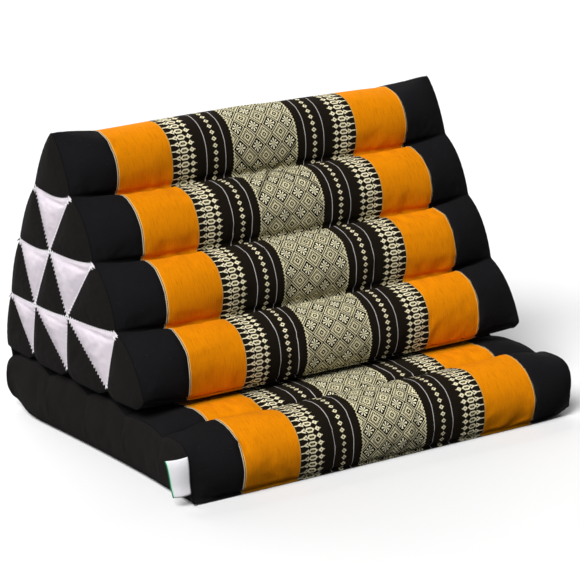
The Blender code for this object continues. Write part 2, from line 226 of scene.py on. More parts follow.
def base_corners(closing):
    """Seams along the underside of the triangle, from front to back."""
    front = mix(SEAMS_MIDDLE[0][:2], SEAMS_END[0][:2], closing)
    back = mix(SEAMS_MIDDLE[0][2:], SEAMS_END[0][2:], closing)
    z = BASE_Z + BASE_GROOVE + (BASE_CORNER_Z - BASE_Z - BASE_GROOVE) * closing
    inner = [(front[0] + (back[0] - front[0]) * share, z) for share in PATCH_CORNERS[0][1:-1]]
    return [front] + inner + [back]


def triangle_section(closing):
    """Closed outline (y, z) of the triangle: up the front, down the back, then along the underside."""
    seams = [mix(middle, end, closing) for middle, end in zip(SEAMS_MIDDLE, SEAMS_END)]
    ridge_y, ridge_z = mix(RIDGE_MIDDLE, RIDGE_END, closing)
    ridge_z -= RIDGE_DROP * (max(0.0, closing - RIDGE_DROP_FROM) / (1.0 - RIDGE_DROP_FROM)) ** 2
    ridge = (ridge_y, ridge_z)
    front = [row[:2] for row in seams] + [ridge]
    back = [row[2:] for row in seams] + [ridge]
    fade = closing ** CLOSING_POWER
    parts = []
    for row in range(len(seams)):
        rise = FRONT_RISE_MIDDLE[row] + (FRONT_RISE_END[row] - FRONT_RISE_MIDDLE[row]) * fade
        parts.append(bulge(front[row], front[row + 1], rise, LOBE_STEPS, LEAN))
    for row in reversed(range(len(seams))):
        rise = BACK_RISE_MIDDLE[row] + (BACK_RISE_END[row] - BACK_RISE_MIDDLE[row]) * fade
        parts.append(bulge(back[row + 1], back[row], rise, LOBE_STEPS, -LEAN))
    corners = base_corners(closing)
    for cell in reversed(range(len(corners) - 1)):
        floor_z = BASE_Z + BASE_LIFT_END * fade
        parts.append(flat_channel(corners[cell + 1], corners[cell], floor_z, BASE_FLAT, LOBE_STEPS))
    return rounded(rows_to_points(*parts), len(front[1:]) * LOBE_STEPS)


def rounded(outline, corner):
    """The outline with the corner at one point worn round."""
    near = np.arange(corner - RIDGE_REACH, corner + RIDGE_REACH + 1)
    for _ in range(RIDGE_ROUNDS):
        outline[near] = 0.5 * outline[near] + 0.25 * (outline[near - 1] + outline[near + 1])
    return outline


def base_stand_out(closing):
    """How far each point of the section stands out along X: only the bottom seam of an end does."""
    crown = PATCH_CROWN[0]
    shift = [np.zeros(2 * len(SEAMS_END) * LOBE_STEPS)]
    for cell in reversed(range(len(crown) - 1)):
        shift.append(crown[cell + 1] + (crown[cell] - crown[cell + 1]) * crowded(LOBE_STEPS))
    return np.concatenate(shift) * closing ** STAND_OUT_POWER


def corner_seam():
    """Front edge of an end panel of the mat, from the hem up and over to the first seam."""
    hem, seam = (MAT_FRONT, MAT_HEM_Z), (MAT_SEAMS[0], MAT_SEAM_Z - MAT_END_DROP)
    crown = MAT_CROWN_FRONT - MAT_END_DROP
    return rows_to_points(hem, squared_channel(seam, hem, crown, MAT_FRONT_PULL, EDGE_STEPS)[:0:-1])


def mat_section(closing):
    """Closed outline (y, z) of the mat: over the top from front to back, then back along the underside."""
    fade = closing ** CLOSING_POWER
    drops = [MAT_END_DROP * fade * (1.0 - number / len(MAT_SEAMS)) for number in range(len(MAT_SEAMS) + 1)]
    seams = [(y, MAT_SEAM_Z - drop) for y, drop in zip(MAT_SEAMS, drops)]
    foot_front, foot_back = (MAT_FRONT, MAT_HEM_Z), (MAT_BACK, MAT_HEM_Z)
    round_front = bulge(foot_front, seams[0], MAT_FRONT_RISE, EDGE_STEPS)
    parts = [round_front + (corner_seam() - round_front) * fade]
    for number, (start, end) in enumerate(zip(seams, seams[1:])):
        crown = (MAT_CROWN_FRONT if number == 0 else MAT_HEIGHT) - drops[number]
        parts.append(flat_channel(start, end, crown, MAT_CROWN_FLAT, CHANNEL_STEPS))
    parts.append(squared_channel(seams[-1], foot_back, MAT_HEIGHT, MAT_BACK_REACH, EDGE_STEPS))
    groove_z = MAT_FOOT_GROOVE * (1.0 - closing)
    under_seams = [foot_back] + [(y, groove_z) for y in reversed(MAT_SEAMS)] + [foot_front]
    under_steps = (EDGE_STEPS, CHANNEL_STEPS, CHANNEL_STEPS, CHANNEL_STEPS, EDGE_STEPS)
    for start, end, steps in zip(under_seams, under_seams[1:], under_steps):
        under = flat_channel(start, end, 0.0, MAT_FOOT_FLAT, steps)
        lift = MAT_FOOT_LIFT * max(0.0, closing - MAT_FOOT_END) / (1.0 - MAT_FOOT_END)
        under[:, 1] = np.maximum(under[:, 1], lift)
        parts.append(under)
    return rows_to_points(*parts)


def mat_stand_out(closing, y):
    """How far the mat reaches past its end along X: ears at the front corners, drawn in behind them."""
    share = np.clip((y - MAT_FRONT) / (MAT_BACK - MAT_FRONT), 0.0, 1.0)
    ear = MAT_EAR * np.maximum(0.0, 1.0 - share / MAT_EAR_SHARE)
    return (ear - MAT_DRAW_IN * np.sin(math.pi * share)) * closing ** STAND_OUT_POWER


def stations():
    """Places along X between the end seams, closer together at the edge of the pattern and at the ends."""
    inner = np.linspace(0.0, PANEL_EDGE - 0.003, round(PANEL_EDGE / STATION_GAP))
    edge = PANEL_EDGE + np.array((-0.0016, -0.0008, 0.0, 0.0008, 0.0016))
    steps = round((HALF_WIDTH - PANEL_EDGE) / STATION_GAP) + 6
    closing = np.linspace(0.0, 1.0, steps + 1)[1:] ** 0.8
    outer = PANEL_EDGE + 0.003 + (HALF_WIDTH - PANEL_EDGE - 0.003) * closing
    right = np.concatenate((inner, edge, outer))
    return np.concatenate((-right[:0:-1], right))


def closing_at(x):
    return max(0.0, 1.0 - (HALF_WIDTH - abs(x)) / END_ZONE)


def smooth_noise(place, wavelength, seed):
    """Even random waves along a line, from -1 to 1."""
    random = np.random.default_rng(seed)
    knots = random.uniform(-1.0, 1.0, 400)
    place = np.asarray(place) / wavelength + 100.0
    low = np.floor(place).astype(int)
    share = place - low
    share = share * share * (3.0 - 2.0 * share)
    return knots[low] + (knots[low + 1] - knots[low]) * share


def outward(outline):
    """Unit directions out of a closed outline that runs clockwise."""
    along = np.roll(outline, -1, axis=0) - np.roll(outline, 1, axis=0)
    along /= np.linalg.norm(along, axis=1)[:, None]
    return np.column_stack((-along[:, 1], along[:, 0]))


def seam_distance(outline, seams):
    """Distance along a closed outline from each point to its nearest seam, and the number of that seam."""
    lengths = np.linalg.norm(np.roll(outline, -1, axis=0) - outline, axis=1)
    place = np.concatenate(([0.0], np.cumsum(lengths)))
    total, place = place[-1], place[:-1]
    away = np.abs(place[:, None] - place[list(seams)][None, :])
    away = np.minimum(away, total - away)
    return away.min(axis=1), away.argmin(axis=1)


def dressed(outline, x, seams, closing, top):
    """The outline with deeper channel seams, gathers beside them and a little unevenness.

    top says for each point whether cloth shows there; the rest keeps the solid's shape.
    """
    distance, nearest = seam_distance(outline, seams)
    open_part = 1.0 - closing ** 2
    shift = -SEAM_DEPTH * np.exp(-distance / SEAM_PULL) * open_part
    gathers = np.array([smooth_noise(x, GATHER_WAVE, 20 + seam) for seam in range(len(seams))])[nearest]
    gathers = GATHER_DEPTH * gathers * np.exp(-distance / GATHER_REACH)
    shift += gathers * (1.0 - np.exp(-distance / GATHER_START)) * open_part
    lumps = np.array([smooth_noise(x, LUMP_WAVE, 60 + seam) for seam in range(len(seams))])[nearest]
    shift += LUMP_DEPTH * lumps * (1.0 - np.exp(-distance / LUMP_START)) * open_part
    shift -= PANEL_GROOVE * math.exp(-((abs(x) - PANEL_EDGE) / PANEL_GROOVE_REACH) ** 2)
    return outline + outward(outline) * (shift * top)[:, None]


class Shell:
    """Cloth faces gathered from several grids, with a UV map in metres and a material number for each face.

    Each point has a share from 0 to 1 by which a seam or what the cloth lies on holds it in place. The orange
    cloth also uses this share to paint its crease shade.
    """

    def __init__(self):
        self.points, self.faces, self.uvs, self.materials, self.held = [], [], [], [], []

    def add(self, points, faces, uvs, materials, held=None):
        first = len(self.points)
        self.held += [1.0] * len(points) if held is None else [float(share) for share in held]
        self.points += [tuple(point) for point in points]
        self.faces += [tuple(first + index for index in face) for face in faces]
        self.uvs += uvs
        self.materials += materials

    def make(self, name, materials):
        mesh = bpy.data.meshes.new(name)
        mesh.from_pydata(self.points, [], self.faces)
        layer = mesh.uv_layers.new(name="cloth")
        layer.data.foreach_set("uv", np.array([uv for face in self.uvs for uv in face], np.float32).ravel())
        mesh.polygons.foreach_set("material_index", self.materials)
        mesh.attributes.new("held", "FLOAT", "POINT").data.foreach_set("value", self.held)
        for material in materials:
            mesh.materials.append(material)
        body = bmesh.new()
        body.from_mesh(mesh)
        bmesh.ops.remove_doubles(body, verts=body.verts, dist=2e-5)
        bmesh.ops.recalc_face_normals(body, faces=body.faces)
        body.to_mesh(mesh)
        body.free()
        mesh.shade_smooth()
        item = bpy.data.objects.new(name, mesh)
        bpy.context.collection.objects.link(item)
        return item


def settle(item):
    """Lets the cloth of a filled cushion settle in a short simulation, held at its seams."""
    mesh = item.data
    count = len(mesh.vertices)
    start = np.empty(count * 3)
    mesh.vertices.foreach_get("co", start)
    held = np.empty(count)
    mesh.attributes["held"].data.foreach_get("value", held)
    group = item.vertex_groups.new(name="held")
    levels = np.round(held * 20.0).astype(int)
    for level in range(1, 21):
        group.add(np.flatnonzero(levels == level).tolist(), level / 20.0, "REPLACE")
    modifier = item.modifiers.new("settling", "CLOTH")
    cloth = modifier.settings
    cloth.quality = 4
    cloth.mass = 0.1
    cloth.tension_stiffness = 20.0
    cloth.compression_stiffness = 10.0
    cloth.shear_stiffness = 5.0
    cloth.bending_stiffness = 0.2
    cloth.air_damping = 2.0
    cloth.use_pressure = True
    cloth.uniform_pressure_force = FILLING_PRESSURE
    cloth.vertex_group_mass = group.name
    cloth.shrink_min = -SLACK
    cloth.effector_weights.gravity = 0.0
    modifier.collision_settings.use_collision = False
    modifier.collision_settings.use_self_collision = False
    scene = bpy.context.scene
    for number in range(1, SETTLING_FRAMES + 1):
        scene.frame_set(number)
    settled = item.evaluated_get(bpy.context.evaluated_depsgraph_get()).data
    end = np.empty(count * 3)
    settled.vertices.foreach_get("co", end)
    item.modifiers.remove(modifier)
    item.vertex_groups.remove(group)
    scene.frame_set(1)
    move = (end - start).reshape(-1, 3)
    length = np.maximum(np.linalg.norm(move, axis=1), 1e-9)
    move *= (SETTLING_LIMIT * np.tanh(length / SETTLING_LIMIT) / length * (1.0 - held))[:, None]
    mesh.vertices.foreach_set("co", start + move.ravel())
    mesh.update()


PATTERNED, BLACK, END_BLACK, WHITE = range(4)


def corner_wear(outline, x, closing):
    """Share from 0 to 1 by which each point of the mat's section is at a bottom corner that is worn round.

    The front left corner, where the tab is sewn in, keeps its edge.
    """
    y, z = outline.T
    low = np.maximum(0.0, 1.0 - z / MAT_CORNER_HEIGHT) ** 2
    front = (TAB_CORNER_WEAR if x < 0.0 else 1.0) * np.exp(-((y - MAT_FRONT) / MAT_CORNER_REACH) ** 2)
    return closing ** 3 * low * (front + np.exp(-((y - MAT_BACK) / MAT_CORNER_REACH) ** 2))


def hemmed(outline, top, x, closing):
    """The mat's outline with a rolled hem along its front and back feet and its bottom corners worn round."""
    y, z = outline.T
    foot = (y < MAT_FRONT + MAT_CORNER_REACH) | (y > MAT_BACK - MAT_CORNER_REACH)
    line = HEM_LINE_DEPTH * np.exp(-((z - HEM_LINE_Z) / HEM_LINE_REACH) ** 2)
    shift = (-line * foot * top)[:, None] * outward(outline)
    flare = HEM_FLARE * np.exp(-(z / HEM_FLARE_REACH) ** 2) * foot
    at_foot = np.exp(-np.minimum(y - MAT_FRONT, MAT_BACK - y) / HEM_FLARE_FADE).clip(0, 1)
    shift[:, 0] += np.where(y < 0.0, -flare, flare) * at_foot
    shift[:, 1] += MAT_CORNER_LIFT * corner_wear(outline, x, closing)
    return outline + shift


def held_share(outline, x, seams, shows):
    """Share by which each point is held: at the seams, at the ends and where the cloth lies on something."""
    distance, _ = seam_distance(outline, seams)
    at_end = math.exp(-(HALF_WIDTH - abs(x)) / HELD_REACH)
    return np.maximum(np.maximum(np.exp(-distance / HELD_REACH), at_end), 1.0 - shows)


def add_rings(shell, rings, held, cloth, black_from):
    """Faces between rings of points. cloth is the place along the cloth of each point, and of the ring's end.

    Outside the patterned panel the cloth is black. So is the underside, which starts at point number
    black_from, but for the HEM_CELLS faces by which the pattern turns in at both of its edges.
    """
    count = len(rings[0])
    points = np.vstack(rings)
    faces, uvs, materials = [], [], []
    under = range(black_from + HEM_CELLS, count - HEM_CELLS)
    for ring in range(len(rings) - 1):
        x0, x1 = rings[ring][0][0], rings[ring + 1][0][0]
        plain = min(abs(x0), abs(x1)) >= PANEL_EDGE - 1e-6
        for index in range(count):
            after = (index + 1) % count
            low, high = ring * count, (ring + 1) * count
            faces.append((low + index, high + index, high + after, low + after))
            v0, v1 = cloth[index], cloth[index + 1]
            uvs.append(((x0, v0), (x1, v0), (x1, v1), (x0, v1)))
            materials.append(BLACK if plain or index in under else PATTERNED)
    shell.add(points, faces, uvs, materials, np.concatenate(held))


def cloth_places(outline, steps, phase):
    """Place along the cloth of each point of a closed outline, in metres, with whole repeats to a channel."""
    lengths = np.linalg.norm(np.roll(outline, -1, axis=0) - outline, axis=1)
    places = [[phase * REPEAT]]
    first = 0
    for cells in steps:
        run = np.cumsum(lengths[first:first + cells])
        repeats = max(1, round(run[-1] / REPEAT))
        places.append(places[-1][-1] + run / run[-1] * repeats * REPEAT)
        first += cells
    return np.concatenate(places)


def patch_corner(level, index):
    """Corner (outward, y, z) of the end patchwork."""
    if level == len(PATCH_CORNERS):
        return (0.0,) + tuple(triangle_section(1.0)[level * LOBE_STEPS])
    share = PATCH_CORNERS[level][index]
    if level == 0:
        return (PATCH_CROWN[level][index],) + tuple(base_corners(1.0)[index])
    row = SEAMS_END[level]
    return (PATCH_CROWN[level][index],) + mix(row[:2], row[2:], share)


def end_patch(corners, edges, steps, tuck=0.0):
    """Puffed triangular patch: a dict of (outward, y, z) points, keyed by how many steps from each corner.

    edges maps the number of a corner to the curved outline opposite it. tuck is the depth of a fold that
    leaves the edge between the first two corners and runs away from it towards the first.
    """
    points = {}
    for i in range(steps + 1):
        for j in range(steps + 1 - i):
            k = steps - i - j
            weights = (i / steps, j / steps, k / steps)
            point = [sum(w * c[axis] for w, c in zip(weights, corners)) for axis in range(3)]
            point[0] += PATCH_PUFF * (27.0 * weights[0] * weights[1] * weights[2]) ** PUFF_POWER
            front_share = weights[0] / max(weights[0] + weights[1], 1e-9)
            across = (weights[2] - TUCK_PLACE - TUCK_SLANT * front_share) / TUCK_REACH
            point[0] -= tuck * math.exp(-across * across) * math.sin(math.pi * front_share ** 1.6) ** 0.7
            for opposite, outline in edges.items():
                a, b = [n for n in range(3) if n != opposite]
                place = weights[b] / max(weights[a] + weights[b], 1e-9)
                low = min(int(place * steps + 1e-6), steps - 1)
                curved = mix(outline[low], outline[low + 1], place * steps - low)
                straight = mix(corners[a], corners[b], place)
                keep = (1.0 - weights[opposite]) ** 2
                point = [p + (c - s) * keep for p, c, s in zip(point, curved, straight)]
            points[(i, j, k)] = tuple(point)
    return points


def add_patch(shell, side, points, steps, material, tip=0, tip_material=0):
    """Adds a patch's faces. The last tip steps before its third corner get the other material."""
    order = {key: number for number, key in enumerate(points)}
    places = [(side * (HALF_WIDTH + outward_), y, z) for outward_, y, z in points.values()]
    flat = [(y, z) for _, y, z in points.values()]
    faces, materials = [], []
    for i in range(steps):
        for j in range(steps - i):
            k = steps - i - j
            cells = [((i, j, k), (i + 1, j, k - 1), (i, j + 1, k - 1))]
            if k > 1:
                cells.append(((i + 1, j, k - 1), (i + 1, j + 1, k - 2), (i, j + 1, k - 1)))
            for cell in cells:
                faces.append(tuple(order[key] for key in cell))
                in_tip = min(key[2] for key in cell) >= steps - tip
                materials.append(tip_material if in_tip else material)
    uvs = [tuple(flat[index] for index in face) for face in faces]
    held = [math.exp(-min(key) / steps * PATCH_SIZE / HELD_REACH) for key in points]
    shell.add(places, faces, uvs, materials, held)


def sagging(first, second, depth, steps):
    """Evenly spaced points from one corner to another along an edge that hangs down between them."""
    points = []
    for step in range(steps + 1):
        share = step / steps
        out, y, z = mix(first, second, share)
        points.append((out, y, z - depth * math.sin(math.pi * share ** SAG_SKEW)))
    return points


def add_end(shell, side, outline, stitched):
    """Close one end of the triangle with its upright black and inverted white patches.

    Each seam round a white patch is added to stitched as a line of points. Where a white patch reaches the
    front or the back seam its corner is cut off blunt, at the cost of the black patch below.
    """
    steps = LOBE_STEPS
    levels = len(PATCH_CORNERS)
    loop = [(0.0, y, z) for y, z in outline]
    sides = [loop[row * steps:(row + 1) * steps + 1] for row in range(2 * levels)]
    front = sides[:levels]
    back = [edge[::-1] for edge in reversed(sides[levels:])]
    under = (loop + loop[:1])[2 * levels * steps:][::-1]

    def stitch(points, keys):
        line = [points[key] for key in keys]
        stitched.append([(side * (HALF_WIDTH + out), y, z) for out, y, z in line])

    for level in range(levels):
        cells = levels - level
        for cell in range(cells):
            corners = (patch_corner(level, cell), patch_corner(level, cell + 1),
                       patch_corner(level + 1, cell))
            edges = {}
            tip = 0
            if cell == cells - 1:
                edges[0] = back[level]
                tip = BACK_BLUNT
            if cell == 0:
                edges[1] = front[level]
                tip = FRONT_BLUNT
            if level == 0:
                edges[2] = base_edge(under, cell, steps)
            else:
                edges[2] = sagging(corners[0], corners[1], EDGE_SAG[level - 1][cell], steps)
            if level == levels - 1:
                tip = 0
            upright = end_patch(corners, edges, steps)
            add_patch(shell, side, upright, steps, END_BLACK, tip, WHITE)
            if tip:
                stitch(upright, [(i, tip - i, steps - tip) for i in range(tip + 1)])
            if cell < cells - 1:
                inverted = (patch_corner(level + 1, cell), patch_corner(level + 1, cell + 1),
                            patch_corner(level, cell + 1))
                top = {2: sagging(inverted[0], inverted[1], EDGE_SAG[level][cell], steps)}
                points = end_patch(inverted, top, steps, TUCK if cell == 0 else 0.4 * TUCK)
                add_patch(shell, side, points, steps, WHITE)
                front_cut = FRONT_BLUNT if cell == 0 else 0
                back_cut = BACK_BLUNT if cell == cells - 2 else 0
                stitch(points, [(i, 0, steps - i) for i in range(steps + 1 - front_cut)])
                stitch(points, [(0, j, steps - j) for j in range(steps + 1 - back_cut)])
                stitch(points, [(i, steps - i, 0) for i in range(steps + 1)])


def base_edge(under, cell, steps):
    """Bottom edge of one patch, with the corners' crown carried along it."""
    low, high = PATCH_CROWN[0][cell], PATCH_CROWN[0][cell + 1]
    points = under[cell * steps:(cell + 1) * steps + 1]
    shares = np.append(crowded(steps), 1.0)
    return [(low + (high - low) * share, p[1], p[2]) for share, p in zip(shares, points)]


def wedge_cushion(materials):
    """The triangle as one closed cloth shell, with the lines along which its ends are stitched."""
    shell = Shell()
    top_points = 2 * len(SEAMS_END) * LOBE_STEPS
    lobes = 2 * len(SEAMS_END) + len(PATCH_CORNERS[0]) - 1
    seams = [lobe * LOBE_STEPS for lobe in range(lobes) if lobe != len(SEAMS_END)]
    shows = (np.arange(lobes * LOBE_STEPS) <= top_points).astype(float)
    rings, held = [], []
    for x in stations():
        closing = closing_at(x)
        outline = dressed(triangle_section(closing), x, seams, closing, shows)
        reach = x + np.copysign(base_stand_out(closing), x)
        rings.append(np.column_stack((reach, outline)))
        held.append(held_share(outline, x, seams, shows))
    middle = dressed(triangle_section(0.0), 0.0, seams, 0.0, shows)
    cloth = cloth_places(middle, [LOBE_STEPS] * lobes, CUSHION_PHASE)
    add_rings(shell, rings, held, cloth, top_points)
    stitched = []
    for side in (-1.0, 1.0):
        add_end(shell, side, [tuple(point) for point in triangle_section(1.0)], stitched)
    return shell.make("triangle_cushion", materials), stitched


def seat_mat(materials):
    """The mat as one closed cloth shell, with the rings at its two end seams."""
    shell = Shell()
    steps = (EDGE_STEPS,) + (CHANNEL_STEPS,) * 3 + (EDGE_STEPS,)
    starts = [0] + list(np.cumsum(steps + steps))
    half = sum(steps)
    seams = starts[:-1]
    shows = (np.arange(2 * half) <= half).astype(float)
    rings, held = [], []
    for x in stations():
        closing = closing_at(x)
        section = mat_section(closing)
        outline = hemmed(dressed(section, x, seams, closing, shows), shows, x, closing)
        stand_out = mat_stand_out(closing, section[:, 0]) - MAT_CORNER_PULL * corner_wear(section, x, closing)
        rings.append(np.column_stack((x + np.copysign(1.0, x) * stand_out, outline)))
        under_cushion = (outline[:, 1] > MAT_SEAM_Z - 0.004) * (outline[:, 0] > SEAMS_MIDDLE[0][0] - 0.004)
        held.append(held_share(outline, x, seams, shows * (1.0 - under_cushion)))
    cloth = cloth_places(dressed(mat_section(0.0), 0.0, seams, 0.0, shows), steps + steps, MAT_PHASE)
    add_rings(shell, rings, held, cloth, half)
    for side, ring in ((-1.0, rings[0]), (1.0, rings[-1])):
        add_mat_end(shell, side, ring, half)
    return shell.make("seat_mat_cushion", materials), (rings[0], rings[-1])


def add_mat_end(shell, side, ring, half):
    """Boxed end of the mat: a panel between the top and the foot seam that swells a little in its middle."""
    rows = np.linspace(0.0, 1.0, MAT_END_ROWS + 1)
    grid = []
    for index in range(half + 1):
        top, foot = ring[index], ring[(2 * half - index) % (2 * half)]
        edge = min(1.0, min(index, half - index) / EDGE_STEPS) ** 0.5
        swell = MAT_END_PUFF * edge * np.sin(math.pi * rows) ** 0.7
        line = top + rows[:, None] * (foot - top)
        line[:, 0] += side * swell
        grid.append(line)
    grid = np.array(grid)
    flat = grid[:, :, 1:]
    faces, uvs = [], []
    across = MAT_END_ROWS + 1
    for index in range(half):
        for row in range(MAT_END_ROWS):
            keys = ((index, row), (index, row + 1), (index + 1, row + 1), (index + 1, row))
            faces.append(tuple(a * across + b for a, b in keys))
            uvs.append(tuple(tuple(flat[key]) for key in keys))
    edge = np.minimum(rows, 1.0 - rows)[None, :] * (grid[:, 0, 2] - grid[:, -1, 2])[:, None]
    held = np.exp(-edge / HELD_REACH)
    shell.add(grid.reshape(-1, 3), faces, uvs, [END_BLACK] * len(faces), held.ravel())


# Materials: numbers over the cloth as Math nodes

class Field:
    """A number that varies over a surface: the output of a Math node, or a plain number."""

    def __init__(self, tree, socket):
        self.tree, self.socket = tree, socket

    def math(self, operation, *others):
        node = self.tree.nodes.new("ShaderNodeMath")
        node.operation = operation
        for place, value in zip(node.inputs, (self,) + others):
            if isinstance(value, Field):
                self.tree.links.new(value.socket, place)
            else:
                place.default_value = value
        return Field(self.tree, node.outputs[0])

    def __add__(self, other):
        return self.math("ADD", other)

    def __sub__(self, other):
        return self.math("SUBTRACT", other)

    def __mul__(self, other):
        return self.math("MULTIPLY", other)

    def __truediv__(self, other):
        return self.math("DIVIDE", other)

    def __lt__(self, other):
        return self.math("LESS_THAN", other)

    def __gt__(self, other):
        return self.math("GREATER_THAN", other)

    def __abs__(self):
        return self.math("ABSOLUTE")

    def either(self, other):
        return self.math("MAXIMUM", other)

    def both(self, other):
        return self.math("MINIMUM", other)

    def less(self, other):
        """This mask without the other one."""
        return self.math("SUBTRACT", other).math("MAXIMUM", 0.0)

    def wrapped(self, period):
        return self.math("WRAP", 0.5 * period, -0.5 * period)

    def snapped(self, step):
        return self.math("SNAP", step) + 0.5 * step


def tint(colour):
    """Linear colour from an sRGB one of 0 to 255."""
    linear = [c / 255.0 / 12.92 if c <= 10 else ((c / 255.0 + 0.055) / 1.055) ** 2.4 for c in colour]
    return tuple(linear) + (1.0,)


class Fabric:
    """A cloth material whose nodes are built from Fields."""

    def __init__(self, name):
        self.material = bpy.data.materials.new(name)
        self.material.use_nodes = True
        self.tree = self.material.node_tree
        self.shader = self.tree.nodes["Principled BSDF"]
        self.shader.inputs["Metallic"].default_value = 0.0
        uv = self.node("ShaderNodeUVMap")
        uv.uv_map = "cloth"
        split = self.node("ShaderNodeSeparateXYZ")
        self.tree.links.new(uv.outputs["UV"], split.inputs[0])
        self.cloth = uv.outputs["UV"]
        self.u = Field(self.tree, split.outputs["X"]) * 1000.0
        self.v = Field(self.tree, split.outputs["Y"]) * 1000.0

    def node(self, kind, **settings):
        node = self.tree.nodes.new(kind)
        for key, value in settings.items():
            setattr(node, key, value)
        return node

    def noise(self, scale_u, scale_v, detail=2.0, roughness=0.5, solid=False):
        """Noise from 0 to 1 over the cloth, or through the object if solid, with so many waves to a metre."""
        mapping = self.node("ShaderNodeMapping")
        mapping.inputs["Scale"].default_value = (scale_u, scale_v, scale_u)
        if solid:
            place = self.node("ShaderNodeTexCoord").outputs["Object"]
        else:
            place = self.cloth
        self.tree.links.new(place, mapping.inputs["Vector"])
        noise = self.node("ShaderNodeTexNoise")
        noise.inputs["Scale"].default_value = 1.0
        noise.inputs["Detail"].default_value = detail
        noise.inputs["Roughness"].default_value = roughness
        self.tree.links.new(mapping.outputs["Vector"], noise.inputs["Vector"])
        return Field(self.tree, noise.outputs["Fac"])

    def blend(self, share, low, high, mode="MIX"):
        """Colour low where share is 0 and high where it is 1; either may be a socket or a colour."""
        node = self.node("ShaderNodeMix", data_type="RGBA", blend_type=mode)
        factor, a, b = (node.inputs[place] for place in (0, 6, 7))
        if isinstance(share, Field):
            self.tree.links.new(share.socket, factor)
        else:
            factor.default_value = share
        for place, value in ((a, low), (b, high)):
            if isinstance(value, tuple):
                place.default_value = value
            else:
                self.tree.links.new(value, place)
        return node.outputs[2]

    def shaded(self, colour, share, depth):
        """The colour made lighter and darker by share, a Field around 0.5, by up to depth."""
        grey = self.node("ShaderNodeCombineColor")
        level = (share - 0.5) * (2.0 * depth) + 1.0
        for place in grey.inputs[:3]:
            self.tree.links.new(level.socket, place)
        return self.blend(1.0, colour, grey.outputs[0], "MULTIPLY")

    def weave(self, pitch_u, pitch_v):
        """Height of a plain weave, from 0 to 1, with threads of those pitches in millimetres."""
        warp = (self.u * (2.0 * math.pi / pitch_u)).math("SINE")
        weft = (self.v * (2.0 * math.pi / pitch_v)).math("SINE")
        return (warp * weft) * 0.5 + 0.5

    def finish(self, colour, height, depth, roughness, sheen, sheen_roughness=0.5, specular=0.25):
        """depth is the bump's height in metres."""
        self.tree.links.new(colour, self.shader.inputs["Base Color"])
        bump = self.node("ShaderNodeBump")
        bump.inputs["Strength"].default_value = 1.0
        bump.inputs["Distance"].default_value = depth
        self.tree.links.new(height.socket, bump.inputs["Height"])
        self.tree.links.new(bump.outputs["Normal"], self.shader.inputs["Normal"])
        if isinstance(roughness, Field):
            self.tree.links.new(roughness.socket, self.shader.inputs["Roughness"])
        else:
            self.shader.inputs["Roughness"].default_value = roughness
        self.shader.inputs["Sheen Weight"].default_value = sheen
        self.shader.inputs["Sheen Roughness"].default_value = sheen_roughness
        self.shader.inputs["Specular IOR Level"].default_value = specular
        return self.material


CREAM = tint((242, 232, 196))
GROUND = tint((26, 21, 15))
OLIVE_DARK = tint((20, 15, 2))
OLIVE_LIGHT = tint((234, 226, 186))
OLIVE_PETAL = tint((250, 245, 212))
OLIVE_HEART = tint((196, 188, 142))
ORANGE = tint((230, 136, 2))
ORANGE_SLUB = tint((184, 96, 2))
FILLING = tint((128, 122, 78))
# painted crease shade: a yellower, less red orange that stands in for how light falls in the creases beside the
# seams
ORANGE_PAINTED_CREASE_SHADE = tint((204, 146, 4))
AMBER_EDGE = tint((206, 160, 84))
LINE_GREY = tint((204, 200, 200))
BLACK_COTTON = tint((22, 21, 23))
END_COTTON = tint((24, 22, 21))
SEWN_GAP = tint((92, 68, 30))
EDGE_YELLOW = tint((246, 186, 96))
EDGE_CREAM = tint((178, 166, 144))
GREEN_EDGE = tint((30, 112, 74))
MINT = tint((196, 238, 220))
TAPE = tint((238, 236, 240))
WHITE_COTTON = tint((231, 221, 226))
# painted fold shade: a grey-blue, shaded copy of the white cotton
WHITE_PAINTED_FOLD_SHADE = tint((206, 197, 210))
LINT = tint((150, 146, 150))
THREAD = 0.56               # millimetres between two threads of the patterned cloth

# Bands of the patterned cloth, in millimetres from the middle of the width
OLIVE_EDGE = 43.3
DOT_COLUMN = 65.7
GREY_LINES = (53.3, 78.1)
GREY_LINE_HALF = 0.38
SPEAR = 95.8
LOZENGE = 105.7
PRONGS = (111.6, 116.6)
STEM_END = 121.6
ORANGE_BAND = (121.9, 189.8)
SELVEDGE = (190.7, 191.6, 192.6)
SEWN_PITCH = 2.4            # of the dark gaps along the selvedge
SEWN_HALF = 1.0
PITCH = REPEAT * 1000.0
LATTICE = 3.0 * PITCH
HATCH = LATTICE / 8.0       # pitch of the dashes round the small diamonds, along the slant


def diamond(across, along, half_across, half_along):
    return (abs(across) / half_across + abs(along) / half_along) < 1.0


def border_figures(u, v):
    """Masks of the border's figures and of their darker filling: dot, spear, lozenge and pronged stem."""
    along = abs(v.wrapped(PITCH))
    dot = u - DOT_COLUMN
    figures = diamond(dot, along, 3.2, 2.7).less(diamond(dot, along, 1.2, 1.05))
    spear = u - SPEAR
    point = diamond(spear, along, 3.7, 2.9).either(diamond(spear, along, 5.2, 1.5).both(spear < 0.0))
    figures = figures.either(point.less(diamond(spear, along, 0.9, 0.7)))
    lozenge = abs(u - LOZENGE)
    outer = (along < 2.8).both((along + lozenge * 0.9) < 5.4)
    inner = (along < 1.15).both((along + lozenge * 0.9) < 3.2)
    slot = (along < 0.6).both(lozenge < 1.5)
    figures = figures.either(outer.less(inner))
    filling = inner.both(slot)
    tail = (u - PRONGS[0]) / (PRONGS[1] - PRONGS[0])
    prongs = (along < (tail * -2.1 + 2.8)).both(u > PRONGS[0]).both(u < PRONGS[1])
    prongs = prongs.less(diamond(u - PRONGS[0] - 1.2, along, 1.3, 0.85))
    stem = (along < 0.6).both(u > PRONGS[1] - 1.0).both(u < STEM_END)
    return figures.either(prongs).either(stem), filling


def between(value, low, high):
    return (value > low).both(value < high)


